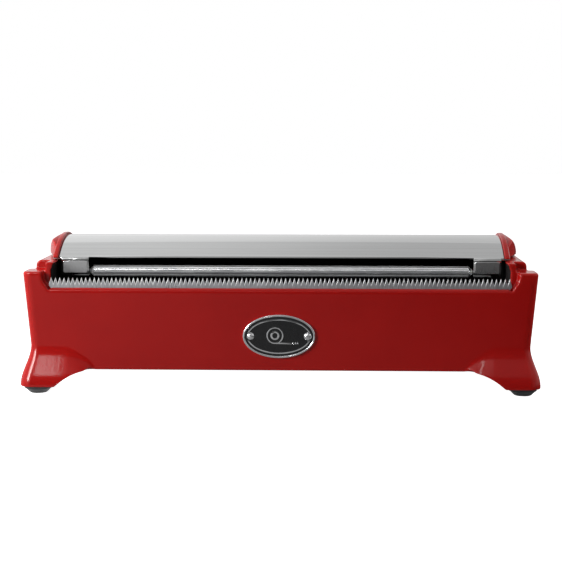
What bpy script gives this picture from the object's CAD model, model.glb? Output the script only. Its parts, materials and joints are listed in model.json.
# Cling film dispenser: red cast housing on four flared legs, stainless cover, toothed cutter,
# film roller and oval badge. Its length lies along X, its front faces -Y and it stands on z = 0.
# Lengths are in metres unless a comment says mm.
import json
import math
from contextlib import contextmanager

import bmesh
import bpy
import numpy as np
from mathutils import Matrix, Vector


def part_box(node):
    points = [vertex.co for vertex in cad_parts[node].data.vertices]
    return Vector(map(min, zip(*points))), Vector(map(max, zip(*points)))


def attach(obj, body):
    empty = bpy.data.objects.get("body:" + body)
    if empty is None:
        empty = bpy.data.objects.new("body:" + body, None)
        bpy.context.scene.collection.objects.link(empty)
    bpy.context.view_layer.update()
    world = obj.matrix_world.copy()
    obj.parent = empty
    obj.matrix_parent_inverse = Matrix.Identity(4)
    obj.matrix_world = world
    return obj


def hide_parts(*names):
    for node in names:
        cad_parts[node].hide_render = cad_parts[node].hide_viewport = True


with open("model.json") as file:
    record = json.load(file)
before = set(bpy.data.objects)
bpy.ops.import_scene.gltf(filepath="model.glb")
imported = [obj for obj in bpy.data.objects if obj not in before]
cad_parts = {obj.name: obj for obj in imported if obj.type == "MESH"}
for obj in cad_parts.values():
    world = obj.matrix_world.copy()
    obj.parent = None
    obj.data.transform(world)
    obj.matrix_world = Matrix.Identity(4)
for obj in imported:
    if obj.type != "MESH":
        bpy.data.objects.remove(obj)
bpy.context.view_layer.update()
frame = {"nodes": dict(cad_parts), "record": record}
nodes = frame["nodes"]
BODIES = frame["record"]["behaviour"]["bodies"]
BODY_OF = {node: body for body, members in BODIES.items() for node in members}
SLOT_OF = {part["node"]: part["material_slot"] for part in frame["record"]["subparts"]}


# ---------------------------------------------------------------- shader graphs
class Graph:
    """A node tree with shorthands: each adds its nodes and gives back the last one's output."""

    def __init__(self, tree):
        self.tree = tree
        tree.nodes.clear()

    def plug(self, socket, value):
        """Links the value if it is a socket, otherwise sets it."""
        if isinstance(value, bpy.types.NodeSocket):
            self.tree.links.new(value, socket)
        elif socket.type == "RGBA":
            socket.default_value = (*value, 1)
        else:
            socket.default_value = value

    def feed(self, node, **inputs):
        """Plugs inputs by name; coat_ior stands for the input "Coat IOR"."""
        for name, value in inputs.items():
            title = name.replace("_", " ").title().replace("Ior", "IOR")
            self.plug(node.inputs[title], value)

    def add(self, kind, **inputs):
        """Adds a node and gives back the node itself."""
        node = self.tree.nodes.new("ShaderNode" + kind)
        self.feed(node, **inputs)
        return node

    def coords(self, stretch=(1, 1, 1)):
        place = self.add("TexCoord").outputs["Object"]
        return self.add("Mapping", scale=stretch, vector=place).outputs[0]

    def noise(self, vector, scale=1.0, detail=3.0, roughness=0.5, distortion=0.0):
        node = self.add("TexNoise", scale=scale, detail=detail, roughness=roughness,
                        distortion=distortion, vector=vector)
        return node.outputs["Fac"]

    def ramp(self, factor, *stops):
        """Colour ramp between two stops, each (position, colour)."""
        node = self.add("ValToRGB")
        for element, (position, color) in zip(node.color_ramp.elements, stops):
            element.position = position
            element.color = (*color, 1)
        self.plug(node.inputs[0], factor)
        return node.outputs[0]

    def remap(self, value, over=(0.0, 1.0), to=(0.0, 1.0), smooth=False):
        """Maps the range `over` onto the range `to`."""
        node = self.add("MapRange", from_min=over[0], from_max=over[1],
                        to_min=to[0], to_max=to[1], value=value)
        if smooth:
            node.interpolation_type = "SMOOTHSTEP"
        return node.outputs[0]

    def math(self, operation, a, b):
        node = self.add("Math")
        node.operation = operation
        self.plug(node.inputs[0], a)
        self.plug(node.inputs[1], b)
        return node.outputs[0]

    def plus(self, a, b):
        return self.math("ADD", a, b)

    def times(self, a, b):
        return self.math("MULTIPLY", a, b)

    def mix(self, factor, a, b):
        """Mixes colour a into colour b."""
        node = self.add("Mix")
        node.data_type = "RGBA"
        for index, value in ((0, factor), (6, a), (7, b)):
            self.plug(node.inputs[index], value)
        return node.outputs[2]

    def bump(self, **inputs):
        return self.add("Bump", **inputs).outputs[0]


class Surface(Graph):
    """A material made of one Principled shader."""

    def __init__(self, name):
        self.material = bpy.data.materials.new(name)
        self.material.use_nodes = True
        super().__init__(self.material.node_tree)
        output = self.add("OutputMaterial")
        self.shader = self.add("BsdfPrincipled")
        self.plug(output.inputs[0], self.shader.outputs[0])

    def set(self, **inputs):
        self.feed(self.shader, **inputs)


# ---------------------------------------------------------------- materials
def red_enamel():
    """Wet-looking stoved enamel: faint orange peel over the slow waviness of a casting."""
    s = Surface("red_enamel")
    v = s.coords()
    tone = s.noise(v, scale=9, detail=4, roughness=0.6)
    color = s.ramp(tone, (0.30, (0.40, 0.0050, 0.0042)), (0.70, (0.46, 0.0068, 0.0052)))
    edges = s.remap(s.add("NewGeometry").outputs["Pointiness"], over=(0.50, 0.56))
    s.set(base_color=s.mix(edges, color, (0.56, 0.012, 0.008)),
          roughness=s.remap(s.noise(v, scale=60), to=(0.20, 0.27)),
          coat_weight=0.34,
          specular_ior_level=0.10,
          coat_roughness=s.remap(s.noise(v, scale=25, detail=4), over=(0.3, 0.7),
                                 to=(0.03, 0.085)),
          coat_ior=1.52)
    peel = s.noise(v, scale=420, detail=2, roughness=0.45)
    wave = s.noise(v, scale=34, detail=2, roughness=0.4)
    height = s.plus(s.times(peel, 0.25), wave)
    normal = s.bump(height=height, strength=0.30, distance=0.00035)
    s.set(normal=normal, coat_normal=normal)
    return s.material


def satin(name, tone, roughness, grain, depth, stretch=(2.0, 900.0, 900.0)):
    """Rolled stainless sheet: long grain, cloudy smears and a few wipe marks.

    grain is what the coarse grain adds to the roughness, depth is the bump strength.
    """
    s = Surface(name)
    s.set(metallic=1.0)
    coarse_stretch = (stretch[0] * 0.5, stretch[1] * 0.16, stretch[2] * 0.16)
    fine = s.noise(s.coords(stretch), detail=4, roughness=0.65)
    coarse = s.noise(s.coords(coarse_stretch), roughness=0.6)
    cloud = s.noise(s.coords((5, 22, 22)), detail=4, roughness=0.55)
    smear = s.noise(s.coords((9, 30, 30)), detail=5, roughness=0.6, distortion=0.8)
    darker = tuple(c * 0.90 for c in tone)
    lighter = tuple(c * 1.08 for c in tone)
    color = s.mix(s.remap(fine, over=(0.35, 0.65)), darker, tone)
    color = s.mix(s.remap(cloud, over=(0.35, 0.75), to=(0.0, 0.35)), color, lighter)
    s.set(base_color=color,
          roughness=s.plus(s.remap(smear, over=(0.35, 0.7), to=roughness),
                           s.times(coarse, grain)))
    height = s.plus(fine, s.times(coarse, 0.6))
    s.set(normal=s.bump(height=height, strength=depth, distance=0.00002))
    return s.material


def blade_steel():
    """Hardened strip: grey ground faces, grinding marks running up the teeth."""
    s = Surface("blade_steel")
    marks = s.noise(s.coords((1500, 40, 70)), roughness=0.6)
    smear = s.noise(s.coords((20, 60, 60)), detail=4)
    s.set(metallic=0.72,
          base_color=s.mix(s.remap(marks, over=(0.3, 0.7)),
                           (0.34, 0.35, 0.37), (0.55, 0.56, 0.58)),
          roughness=s.plus(s.remap(smear, over=(0.3, 0.7), to=(0.22, 0.36)),
                           s.times(marks, 0.08)),
          normal=s.bump(height=marks, strength=0.35, distance=0.00002))
    return s.material


def tooth_grind():
    """Fresh ground flanks of the teeth, brighter than the strip."""
    s = Surface("tooth_grind")
    marks = s.noise(s.coords((900, 300, 300)), detail=2)
    s.set(metallic=0.15,
          base_color=s.mix(s.remap(marks, over=(0.3, 0.7)),
                           (0.88, 0.885, 0.89), (0.97, 0.97, 0.97)),
          roughness=s.remap(marks, to=(0.25, 0.42)),
          normal=s.bump(height=marks, strength=0.2, distance=0.00002))
    return s.material


def chrome():
    s = Surface("chrome")
    v = s.coords()
    dirt = s.noise(v, scale=240, detail=4, roughness=0.6)
    s.set(metallic=1.0,
          base_color=s.ramp(dirt, (0.30, (0.66, 0.67, 0.69)), (0.62, (0.80, 0.80, 0.81))),
          roughness=s.remap(dirt, over=(0.3, 0.75), to=(0.06, 0.18)),
          normal=s.bump(height=s.noise(v, scale=900), strength=0.10, distance=0.00003))
    return s.material


def badge_black():
    """Glossy black ground with a thin coat."""
    s = Surface("badge_black")
    v = s.coords()
    speckle = s.noise(v, scale=700, roughness=0.6)
    s.set(base_color=s.ramp(speckle, (0.3, (0.006, 0.006, 0.007)), (0.7, (0.014, 0.014, 0.015))),
          roughness=s.remap(s.noise(v, scale=90, detail=4), over=(0.3, 0.7), to=(0.22, 0.38)),
          coat_weight=0.3,
          coat_roughness=0.15,
          specular_ior_level=0.3,
          normal=s.bump(height=speckle, strength=0.12, distance=0.00005))
    return s.material


def bay_black():
    """Unlit, matt black finish of the roll bay."""
    s = Surface("bay_black")
    speckle = s.noise(s.coords(), scale=260, detail=4, roughness=0.6)
    s.set(base_color=s.ramp(speckle, (0.3, (0.004, 0.003, 0.003)), (0.7, (0.009, 0.007, 0.007))),
          roughness=s.remap(speckle, to=(0.6, 0.8)),
          specular_ior_level=0.15,
          normal=s.bump(height=speckle, strength=0.2, distance=0.0001))
    return s.material


def cover_inner():
    """Dull, dark mill finish of the inside of the cover."""
    s = Surface("cover_inner")
    grain = s.noise(s.coords((6, 300, 300)), detail=4, roughness=0.6)
    s.set(base_color=s.ramp(grain, (0.3, (0.010, 0.010, 0.011)), (0.7, (0.022, 0.022, 0.023))),
          roughness=s.remap(grain, to=(0.5, 0.7)),
          specular_ior_level=0.2,
          normal=s.bump(height=grain, strength=0.2, distance=0.00005))
    return s.material


def rubber():
    s = Surface("rubber")
    v = s.coords()
    pores = s.noise(v, scale=900, detail=4, roughness=0.65)
    dust = s.noise(v, scale=70, detail=4, roughness=0.6)
    s.set(base_color=s.ramp(dust, (0.35, (0.040, 0.042, 0.045)), (0.75, (0.090, 0.093, 0.097))),
          roughness=s.remap(dust, over=(0.3, 0.7), to=(0.26, 0.44)),
          coat_weight=0.35,
          coat_roughness=0.2,
          normal=s.bump(height=pores, strength=0.2, distance=0.00006))
    return s.material


def acetal():
    """Off-white, slightly translucent plastic."""
    s = Surface("acetal")
    speckle = s.noise(s.coords(), scale=300)
    s.set(base_color=s.ramp(speckle, (0.3, (0.60, 0.585, 0.54)), (0.7, (0.70, 0.69, 0.65))),
          roughness=s.remap(speckle, to=(0.36, 0.48)),
          subsurface_weight=0.15,
          subsurface_scale=0.002,
          normal=s.bump(height=speckle, strength=0.1, distance=0.00005))
    return s.material


def film_roller():
    """Bright roller with fine turning marks and faint wrinkles of film left on it."""
    s = Surface("film_roller")
    wrinkles = s.noise(s.coords((26, 150, 150)), detail=4, roughness=0.6, distortion=1.0)
    turning = s.noise(s.coords((700, 8, 8)), detail=2)
    s.set(metallic=0.86,
          sheen_weight=0.6,
          sheen_roughness=0.5,
          base_color=s.mix(s.remap(wrinkles, over=(0.38, 0.66)),
                           (0.74, 0.75, 0.77), (0.97, 0.98, 0.99)),
          roughness=s.remap(wrinkles, over=(0.35, 0.65), to=(0.17, 0.27)))
    wrinkled = s.bump(height=wrinkles, strength=0.16, distance=0.0005)
    s.set(normal=s.bump(height=turning, strength=0.12, distance=0.00002, normal=wrinkled))
    return s.material


MATERIALS = {
    "red_enamel": red_enamel(),
    "stainless": satin("stainless", tone=(0.60, 0.605, 0.615), roughness=(0.20, 0.32),
                       grain=0.10, depth=0.35),
    "cover": satin("cover_stainless", tone=(0.66, 0.665, 0.665), roughness=(0.05, 0.085),
                   grain=0.03, depth=0.10),
    "tab": satin("tab_stainless", tone=(0.50, 0.50, 0.505), roughness=(0.18, 0.30),
                 grain=0.12, depth=0.5, stretch=(900.0, 60.0, 300.0)),
    "blade_steel": blade_steel(),
    "tooth": tooth_grind(),
    "chrome": chrome(),
    "badge_black": badge_black(),
    "rubber": rubber(),
    "acetal": acetal(),
    "film": film_roller(),
    "bay": bay_black(),
    "under": cover_inner(),
}
MATERIAL_OF = {node: MATERIALS[slot] for node, slot in SLOT_OF.items()}
MATERIAL_OF["lid_cover"] = MATERIALS["cover"]
MATERIAL_OF["film_roller_tube"] = MATERIALS["film"]
MATERIAL_OF["film_roller_plugs"] = MATERIALS["film"]
for node_name, node_object in nodes.items():
    node_object.data.materials.clear()
    node_object.data.materials.append(MATERIAL_OF[node_name])


# ---------------------------------------------------------------- mesh helpers
def add_object(name, data):
    ob = bpy.data.objects.new(name, data)
    bpy.context.scene.collection.objects.link(ob)
    return ob


def add_mesh(name, verts, faces, material):
    mesh = bpy.data.meshes.new(name)
    mesh.from_pydata(verts, [], faces)
    mesh.validate()
    mesh.materials.append(material)
    return add_object(name, mesh)


@contextmanager
def editing(mesh):
    """Opens the mesh as a bmesh and writes it back."""
    bm = bmesh.new()
    bm.from_mesh(mesh)
    yield bm
    bm.to_mesh(mesh)
    bm.free()


def stand_for(ob, node):
    """Puts the object in the place of a frame node."""
    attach(ob, BODY_OF[node])
    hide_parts(node)


def edges_over(bm, degrees):
    limit = math.radians(degrees)
    return [e for e in bm.edges if len(e.link_faces) == 2 and e.calc_face_angle(0) > limit]


def shade_by_angle(bm, degrees=50):
    for face in bm.faces:
        face.smooth = True
    for edge in edges_over(bm, degrees):
        edge.smooth = False


def refined(node, width, degrees=30):
    """The node's own solid with its sharp edges broken by a small radius."""
    bm = bmesh.new()
    bm.from_mesh(nodes[node].data)
    bmesh.ops.remove_doubles(bm, verts=bm.verts, dist=2e-6)
    bmesh.ops.dissolve_limit(bm, angle_limit=math.radians(0.6), verts=bm.verts, edges=bm.edges)
    bmesh.ops.bevel(bm, geom=edges_over(bm, degrees), offset=width, offset_type="OFFSET",
                    segments=2, profile=0.6, affect="EDGES", clamp_overlap=True)
    shade_by_angle(bm)
    mesh = bpy.data.meshes.new(node + "_fine")
    bm.to_mesh(mesh)
    bm.free()
    ob = add_object(node + "_fine", mesh)
    mesh.materials.append(MATERIAL_OF[node])
    stand_for(ob, node)
    return ob


def read_rows(items, field, width=3, kind=float):
    """A field of all items as an array, one row each."""
    values = np.empty(len(items) * width, kind)
    items.foreach_get(field, values)
    return values.reshape(-1, width)


def write_points(mesh, points):
    mesh.vertices.foreach_set("co", points.ravel())
    mesh.update()


def relax(mesh, rounds, factor=0.5):
    """Laplacian smoothing: each round draws every point toward the mean of its neighbours."""
    points = read_rows(mesh.vertices, "co")
    edges = read_rows(mesh.edges, "vertices", 2, np.int32)
    start, end = edges[:, 0], edges[:, 1]
    count = len(points)
    neighbours = np.maximum(np.bincount(edges.ravel(), minlength=count).astype(float), 1)[:, None]
    for _ in range(rounds):
        total = np.zeros_like(points)
        for k in range(3):
            total[:, k] = (np.bincount(start, points[end, k], count)
                           + np.bincount(end, points[start, k], count))
        points += factor * (total / neighbours - points)
    write_points(mesh, points)


def soft_cast(node, voxel, rounds, shape=None):
    """The node's solid as a casting: every edge gets a soft radius."""
    ob = add_object(node + "_cast", nodes[node].data.copy())
    remesh = ob.modifiers.new("cast", "REMESH")
    remesh.mode = "VOXEL"
    remesh.voxel_size = voxel
    remesh.adaptivity = 0.0
    depsgraph = bpy.context.evaluated_depsgraph_get()
    mesh = bpy.data.meshes.new_from_object(ob.evaluated_get(depsgraph))
    ob.modifiers.clear()
    ob.data = mesh
    if shape:
        shape(mesh)
    relax(mesh, rounds)
    mesh.materials.clear()
    mesh.materials.append(MATERIAL_OF[node])
    mesh.polygons.foreach_set("use_smooth", [True] * len(mesh.polygons))
    stand_for(ob, node)
    return ob


# ---------------------------------------------------------------- housing (mm)
WAIST_X, WALL_Y = 254.4, 75.0    # end and long walls, from the middle
LEAN = 6.6                       # outward lean of the ends over LEAN_HEIGHT, none at LEAN_Z
LEAN_Z, LEAN_HEIGHT = 50, 72.4
FLARE, END_FLARE = 12.0, 1.12    # flare of the long walls; times END_FLARE on the ends
FLARE_TOP = 54                   # where the flare starts at a corner
FLARE_REACH = 63.7               # how far it runs along the end walls' scale
FLARE_REACH_X, FLARE_REACH_Y = 66.4, 66.5
BELLY_Z, LEG_Z = 24.3, 7.9       # underside of the body, bottom of the legs
ARCH_Z = BELLY_Z + 0.4
ARCH_RUN = 40                    # length of each arch's curve
ARCH_X, ARCH_Y = 188.0, 8.5      # where the curves start
SKIN_REACH = 1.7                 # points this near the true skin are moved onto it


def smoothstep(t):
    t = np.clip(t, 0, 1)
    return t * t * (3 - 2 * t)


def flare_at(z, from_corner):
    """Flare at a height and a distance along the wall from the corner."""
    rise = np.sqrt(np.clip((FLARE_REACH - from_corner) / 27, 0, 1))
    top = BELLY_Z + (FLARE_TOP - BELLY_Z) * rise
    flare = FLARE * smoothstep(((top - z) / (top - LEG_Z) - 0.08) / 0.92)
    return np.where(from_corner > FLARE_REACH - 0.1, 0, flare)


def true_legs(mesh):
    """Puts the faceted skin of the legs and arches onto the smooth surface it stands for."""
    points = read_rows(mesh.vertices, "co") * 1000
    sign_x, sign_y = np.sign(points[:, 0]), np.sign(points[:, 1])
    x, y, z = np.abs(points[:, 0]), np.abs(points[:, 1]), points[:, 2].copy()

    leg = (z < 56.5) & (x > 186) & (z > LEG_Z - 0.5)
    corner_flare = flare_at(z, np.zeros(len(points)))
    radius = 9 + 4 * smoothstep((48 - z) / 38)
    end_x = WAIST_X + LEAN * (z - LEAN_Z) / LEAN_HEIGHT
    # centre of the corner's rounding
    center_x = end_x + END_FLARE * corner_flare - radius
    center_y = WALL_Y + corner_flare - radius
    along_x = np.clip(WAIST_X - x, 0, None) * (FLARE_REACH / FLARE_REACH_X)
    along_y = np.clip(WALL_Y - y, 0, None) * (FLARE_REACH / FLARE_REACH_Y)
    skin_y = WALL_Y + flare_at(z, along_x)
    skin_x = end_x + END_FLARE * flare_at(z, along_y)
    from_center = np.hypot(x - center_x, y - center_y)

    wall = leg & (x <= center_x) & (np.abs(y - skin_y) < SKIN_REACH)
    end = leg & (y <= center_y) & (np.abs(x - skin_x) < SKIN_REACH) & (y > 8)
    corner = (leg & (x > center_x) & (y > center_y)
              & (np.abs(from_center - radius) < SKIN_REACH))
    pull = radius / np.maximum(from_center, 1e-6)
    y = np.where(wall, skin_y, y)
    new_x = np.where(end, skin_x, x)
    new_x = np.where(corner, center_x + (x - center_x) * pull, new_x)
    y = np.where(corner, center_y + (y - center_y) * pull, y)

    for along, start in ((x, ARCH_X), (y, ARCH_Y)):
        t = np.clip((along - start) / ARCH_RUN, 0, 1)
        arch = LEG_Z + (ARCH_Z - LEG_Z) * (1 - t ** 2.15)
        hit = ((x > 187) & (along > start) & (along < start + ARCH_RUN)
               & (np.abs(z - arch) < 1.2) & (z < BELLY_Z + 0.2) & (z > LEG_Z + 0.6))
        z = np.where(hit, arch, z)
    write_points(mesh, np.stack([new_x * sign_x, y * sign_y, z], 1) / 1000)


def blacken_bay(mesh):
    """Gives the faces inside the roll bay the matt black finish."""
    mesh.materials.append(MATERIALS["bay"])
    center = read_rows(mesh.polygons, "center") * 1000
    normal_x = read_rows(mesh.polygons, "normal")[:, 0]
    x, y, z = center.T
    far = np.abs(x)
    inside = (far < 233.4) & (np.abs(y) < 70.4) & (z > 31.5) & (z < 126)
    # the end walls' inner faces reach higher
    inside |= ((far > 230) & (far < 233.6) & (normal_x * np.sign(x) < -0.5)
               & (y > -64) & (y < 70.4) & (z > 31.5) & (z < 131.5))
    mesh.polygons.foreach_set("material_index", inside.astype(np.int32))


def build_castings():
    housing = soft_cast("housing", voxel=0.0008,
                        rounds=8, shape=true_legs)
    blacken_bay(housing.data)
    for side in ("left", "right"):
        soft_cast("lid_end_cap_" + side, voxel=0.00045,
                  rounds=18)


# ---------------------------------------------------------------- cover
COVER_AXIS_Y, COVER_AXIS_Z = 0.020, 0.0672
PAD_HALF_WIDTH, PAD_TOP, PAD_CORNER = 0.01265, 0.13215, 0.0012
PAD_BELOW_AXIS, PAD_AHEAD = 0.0018, 0.0059    # from the roller bearing's axis
# the pad's edge from back to front: (inset, y from the tab's face)
PAD_EDGE = ((0.0, 0.00005), (0.00012, -0.00028), (0.0004, -0.00038))


def add_pad(bm, x, face_y, bottom):
    """Raised pad with rounded corners, on a front tab."""
    half_height, mid_z = (PAD_TOP - bottom) / 2, (PAD_TOP + bottom) / 2
    outline = []    # x and z from the pad's middle
    for corner, (side_x, side_z) in enumerate(((1, 1), (-1, 1), (-1, -1), (1, -1))):
        for k in range(5):
            angle = math.radians(corner * 90 + k * 22.5)
            outline.append((side_x * (PAD_HALF_WIDTH - PAD_CORNER) + PAD_CORNER * math.cos(angle),
                            side_z * (half_height - PAD_CORNER) + PAD_CORNER * math.sin(angle)))
    loops = []
    for inset, step in PAD_EDGE:
        scale_x, scale_z = 1 - inset / PAD_HALF_WIDTH, 1 - inset / half_height
        loops.append([bm.verts.new((x + px * scale_x, face_y + step, mid_z + pz * scale_z))
                      for px, pz in outline])
    for back, front in zip(loops, loops[1:]):
        for j in range(len(outline)):
            k = (j + 1) % len(outline)
            bm.faces.new((back[j], back[k], front[k], front[j])).smooth = True
    bm.faces.new(loops[-1]).material_index = 1
    bm.faces.new(loops[0][::-1])


def build_cover():
    """The cover with its dark inside and a pad on each front tab."""
    mesh = refined("lid_cover", width=0.00025, degrees=35).data
    mesh.materials.append(MATERIALS["tab"])
    mesh.materials.append(MATERIALS["under"])
    for face in mesh.polygons:
        y, z = face.center.y - COVER_AXIS_Y, face.center.z - COVER_AXIS_Z
        inward = face.normal.y * y + face.normal.z * z < -0.45 * math.hypot(y, z)
        if inward and abs(face.normal.x) < 0.5:
            face.material_index = 2
    low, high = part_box("roller_bearing_right")
    axis_x, axis_y, axis_z = ((low.x + high.x) / 2, (low.y + high.y) / 2, (low.z + high.z) / 2)
    with editing(mesh) as bm:
        for side in (-1, 1):
            add_pad(bm, side * axis_x, axis_y - PAD_AHEAD, axis_z - PAD_BELOW_AXIS)
        bmesh.ops.recalc_face_normals(bm, faces=bm.faces)


# ---------------------------------------------------------------- cutter
TEETH = 106
NOTCH_DEPTH = 0.0064
GRIND_DROP = 0.0021       # how much lower the teeth are in front than behind
FOOT_HALF = 0.2315        # half length of the strip under the teeth
ROOT_Z = 0.1065           # where the strip starts to widen to its full length
BRIGHT_BELOW_X = -0.13    # left of this both flanks of a tooth are bright


def build_cutter():
    """Ground flanks on every tooth, so that the notches are wider in front than behind."""
    low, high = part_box("cutter_blade")
    front, back, bottom, half, tip = low.y, high.y, low.z, high.x, high.z
    notch = tip - NOTCH_DEPTH
    verts, faces, bright = [], [], []

    def section(foot_x, x, z):
        """Outline across the strip, from the front foot over the edge to the back foot."""
        return ((foot_x, front, bottom), (foot_x, front, ROOT_Z), (x, front, z - GRIND_DROP),
                (x, back, z), (foot_x, back, ROOT_Z), (foot_x, back, bottom))

    def quad(corners, is_bright=False):
        first = len(verts)
        verts.extend(corners)
        faces.append(tuple(range(first, first + 4)))
        bright.append(int(is_bright))

    def station(i):
        x = -half + 2 * half / TEETH * i / 2
        return section(max(-FOOT_HALF, min(FOOT_HALF, x)), x, tip if i % 2 else notch)

    for i in range(2 * TEETH):
        a, b = station(i), station(i + 1)
        rising = i % 2 == 0
        for p, q in ((0, 1), (1, 2), (2, 3)):
            flank = p == 2
            quad((a[p], b[p], b[q], a[q]), flank and (rising or a[2][0] < BRIGHT_BELOW_X))
        for p, q in ((5, 4), (4, 3), (0, 5)):
            quad((b[p], a[p], a[q], b[q]))
    for side in (-1, 1):
        end = section(side * FOOT_HALF, side * half, notch)
        for order in ((0, 5, 4, 1), (1, 4, 3, 2)):
            quad([end[k] for k in order[::side]])

    blade = add_mesh("cutter_blade_ground", verts, faces, MATERIALS["blade_steel"])
    blade.data.materials.append(MATERIALS["tooth"])
    blade.data.polygons.foreach_set("material_index", bright)
    with editing(blade.data) as bm:
        bmesh.ops.remove_doubles(bm, verts=bm.verts, dist=1e-6)
        bmesh.ops.recalc_face_normals(bm, faces=bm.faces)
    stand_for(blade, "cutter_blade")


# ---------------------------------------------------------------- badge rim
RIM_WIDTH, RIM_SEGMENTS, BEAD_STEPS = 0.0025, 144, 12


def build_badge_rim():
    """A domed elliptical bead."""
    low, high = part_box("badge_rim")
    mid_x, mid_z = (low.x + high.x) / 2, (low.z + high.z) / 2
    half_x, half_z = (high.x - low.x) / 2, (high.z - low.z) / 2
    front, back = low.y, high.y
    profile = [(0.0, back)]    # (inset from the outer edge, y)
    for k in range(BEAD_STEPS + 1):
        angle = math.pi * k / BEAD_STEPS
        dome = 0.30 + 0.70 * math.sin(angle) ** 0.8
        profile.append((RIM_WIDTH / 2 * (1 - math.cos(angle)), back + (front - back) * dome))
    profile.append((RIM_WIDTH, back))
    count = len(profile)
    verts, faces = [], []
    for i in range(RIM_SEGMENTS):
        angle = 2 * math.pi * i / RIM_SEGMENTS
        here, after = i * count, (i + 1) % RIM_SEGMENTS * count
        for j, (inset, y) in enumerate(profile):
            k = (j + 1) % count
            verts.append((mid_x + (half_x - inset) * math.cos(angle), y,
                          mid_z + (half_z - inset) * math.sin(angle)))
            faces.append((here + j, here + k, after + k, after + j))
    rim = add_mesh("badge_rim_bead", verts, faces, MATERIALS["chrome"])
    with editing(rim.data) as bm:
        bmesh.ops.recalc_face_normals(bm, faces=bm.faces)
        shade_by_angle(bm)
    stand_for(rim, "badge_rim")


build_castings()
build_cover()
build_cutter()
build_badge_rim()
for node_name in ("foot_front_left", "foot_front_right", "foot_rear_left", "foot_rear_right",
                  "badge_emblem", "badge_inner_ring", "blade_clamp_strip",
                  "cradle_bracket_left", "cradle_bracket_right"):
    refined(node_name, width=0.0002)


# ---------------------------------------------------------------- studio
def grey(value):
    return (value, value, value)


def floor_white():
    """Plain white to the camera, a left-to-right gradient in reflections, dim as bounce light."""
    s = Surface("floor_white")
    white = grey(0.93)
    s.set(base_color=white, roughness=0.9, specular_ior_level=0.1)
    ray = s.add("LightPath").outputs
    position = s.add("NewGeometry").outputs["Position"]
    x = s.add("SeparateXYZ", vector=position).outputs[0]
    fade = s.remap(x, over=(-0.45, 0.36), to=(0.64, 0.03))
    gradient = s.add("CombineColor")
    for socket in list(gradient.inputs)[:3]:
        s.plug(socket, fade)
    pale = s.mix(ray["Is Diffuse Ray"], white, grey(0.40))
    s.set(base_color=s.mix(ray["Is Glossy Ray"], pale, grey(0.02)))
    seen = s.mix(ray["Is Camera Ray"], grey(0.0), grey(1.0))
    s.set(emission_color=s.mix(ray["Is Glossy Ray"], seen, gradient.outputs[0]),
          emission_strength=1.0)
    return s.material


def build_world():
    """White to the camera; reflections see soft panels behind, in front and at the sides."""
    world = bpy.data.worlds.new("studio")
    bpy.context.scene.world = world
    world.use_nodes = True
    g = Graph(world.node_tree)
    output = g.add("OutputWorld")
    background = g.add("Background", strength=1.0)
    direction = g.add("TexCoord").outputs["Generated"]
    x, y, z = g.add("SeparateXYZ", vector=direction).outputs

    def fade(axis, over, to=(0.0, 1.0)):
        return g.remap(axis, over=over, to=to, smooth=True)

    across = fade(x, over=(-0.24, 0.20), to=(0.95, 0.69))    # brighter on the left
    is_back = fade(y, over=(-0.40, -0.12))
    is_front = fade(y, over=(-0.40, -0.12), to=(1, 0))
    panel_edge = (0.672, 0.692)    # edge of the big rear panel
    high = fade(z, over=panel_edge)
    back_low = g.times(across, fade(z, over=(-0.02, 0.10), to=(0.35, 1.02)))
    back_high = g.times(across, 0.835)
    back = g.plus(g.times(back_low, fade(z, over=panel_edge, to=(1, 0))),
                  g.times(back_high, high))

    strip = g.times(fade(z, over=(0.46, 0.50)), fade(z, over=(0.66, 0.72), to=(1, 0)))
    left = fade(x, over=(-0.80, -0.45), to=(0.9, 0))
    right = fade(x, over=(0.45, 0.85), to=(0, 0.35))
    front = g.plus(g.plus(g.times(strip, fade(x, over=(-0.22, 0.16), to=(1.15, 0.35))),
                          fade(z, over=(0.0, 0.9), to=(0.08, 0.20))),
                   g.plus(left, right))
    # a narrow bright pane in front, on the left
    pane = g.times(g.times(fade(x, over=(-0.219, -0.212)),
                           fade(x, over=(-0.200, -0.190), to=(1, 0))),
                   g.times(fade(z, over=(0.40, 0.47)),
                           fade(z, over=(0.72, 0.76), to=(1, 0))))
    front = g.plus(front, g.times(pane, 11.0))

    light = g.plus(g.times(back, is_back),
                   g.times(g.times(front, is_front), fade(z, over=(-0.05, 0.1), to=(0.35, 1))))
    ray = g.add("LightPath").outputs
    dimming = g.math("SUBTRACT", 1.0, g.times(ray["Is Diffuse Ray"], 0.93))
    light = g.times(light, dimming)
    g.feed(background, color=g.mix(ray["Is Camera Ray"], light, grey(1.0)))
    g.plug(output.inputs[0], background.outputs[0])


def aim(ob, direction):
    ob.rotation_euler = direction.to_track_quat("-Z", "Y").to_euler()


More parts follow.
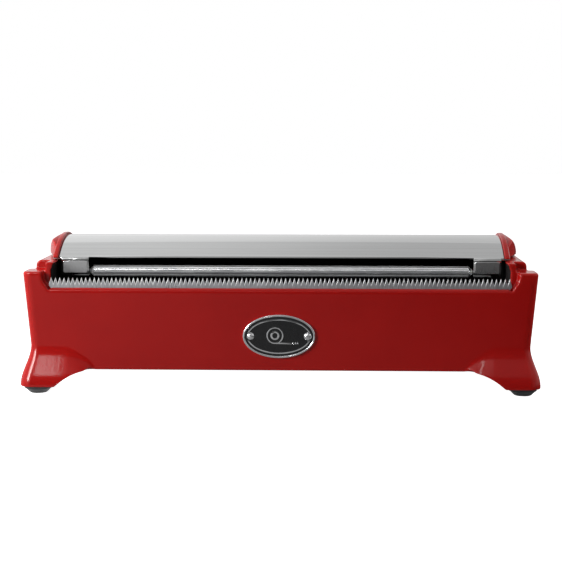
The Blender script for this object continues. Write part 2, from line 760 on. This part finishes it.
def area(name, place, target, size, power, hidden_from=()):
    """Rectangular area light, unseen by the kinds of ray in hidden_from."""
    light = bpy.data.lights.new(name, "AREA")
    light.shape = "RECTANGLE"
    light.size, light.size_y = size
    light.energy = power
    ob = add_object(name, light)
    ob.location = place
    aim(ob, Vector(target) - Vector(place))
    for ray in hidden_from:
        setattr(ob, "visible_" + ray, False)


def build_lights():
    area("key_left", place=(-1.10, -0.86, 0.57), target=(-0.30, 0, 0.08),
         size=(0.5, 0.5), power=12.8)
    for name, side, power in (("side_left", -1, 2.0), ("side_right", 1, 1.3)):
        area(name, place=(side * 0.64, -0.03, 0.37), target=(side * 0.24, -0.02, 0.15),
             size=(0.25, 0.12), power=power, hidden_from=("glossy",))
    area("overhead", place=(-0.1, -0.2, 1.5), target=(0, 0, 0.1), size=(1.5, 0.5), power=0.45)
    area("fill_right", place=(1.5, -1.2, 0.7), target=(0.1, 0, 0.08), size=(0.6, 0.8), power=0.05)
    # narrow window that only shows as a reflection in the left legs
    area("window_left", place=(-0.97, -0.90, 0.57), target=(-0.24, -0.08, 0.04),
         size=(0.28, 0.62), power=9.0, hidden_from=("diffuse", "camera"))


def build_camera():
    """Camera on an orbit around its target, a little to the right and above."""
    elevation, azimuth, distance = math.radians(6.5), math.radians(2.0), 1.394
    target = (0, -0.075, 0.1155)
    outward = (math.cos(elevation) * math.sin(azimuth),
               -math.cos(elevation) * math.cos(azimuth),
               math.sin(elevation))
    camera = bpy.data.cameras.new("camera")
    camera.sensor_width = 36
    camera.lens = 88.718861
    camera.shift_x = 0.0035587189
    camera.shift_y = 0.00088967972
    ob = add_object("camera", camera)
    ob.location = [t + distance * o for t, o in zip(target, outward)]
    aim(ob, -Vector(outward))
    bpy.context.scene.camera = ob


floor = add_mesh("floor", [(-6, -6, 0), (6, -6, 0), (6, 6, 0), (-6, 6, 0)], [(0, 1, 2, 3)],
                 floor_white())
build_world()
build_lights()
build_camera()
bpy.context.scene.view_settings.view_transform = "Standard"
